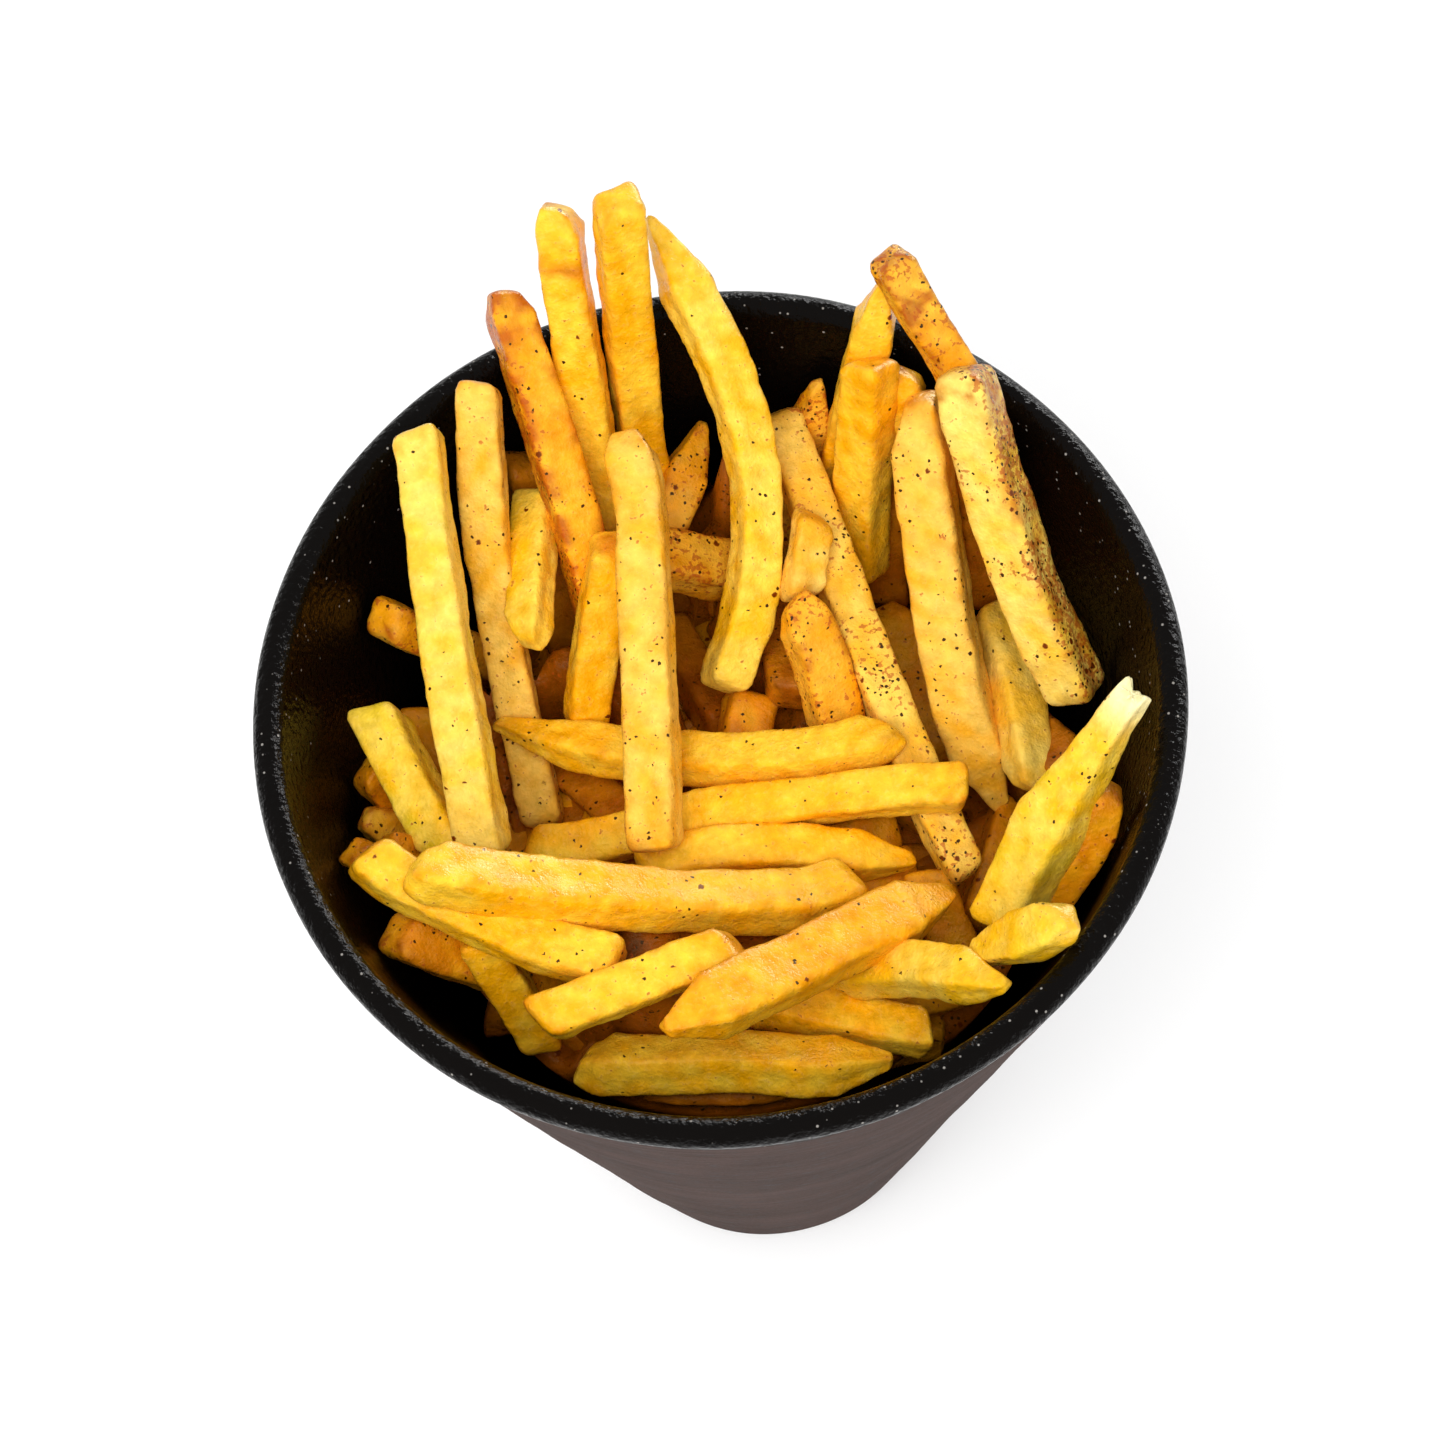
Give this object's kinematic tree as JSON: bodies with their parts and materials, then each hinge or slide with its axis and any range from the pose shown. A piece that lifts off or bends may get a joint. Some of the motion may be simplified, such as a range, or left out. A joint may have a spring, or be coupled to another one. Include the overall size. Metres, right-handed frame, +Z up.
{
  "type": "french fries in a cup",
  "caption": "French fries standing and lying heaped in a tall conical stoneware cup with a dark glazed rim.",
  "frame": {"origin": "middle of the cup's foot, on the surface it stands on", "axes": "+Z up along the cup's axis, -Y towards the side the picture looks from, +X to its right"},
  "size_m": [0.13, 0.1362, 0.1821],
  "materials": {
    "cup": "black glaze inside and on the rim, bare dark grey stoneware outside",
    "fries": "fried potato, golden and pale yellow with brown edges and fine dark seasoning"
  },
  "bodies": {
    "root": {"cup": "cup", "fries": "fries"}
  },
  "joints": []
}
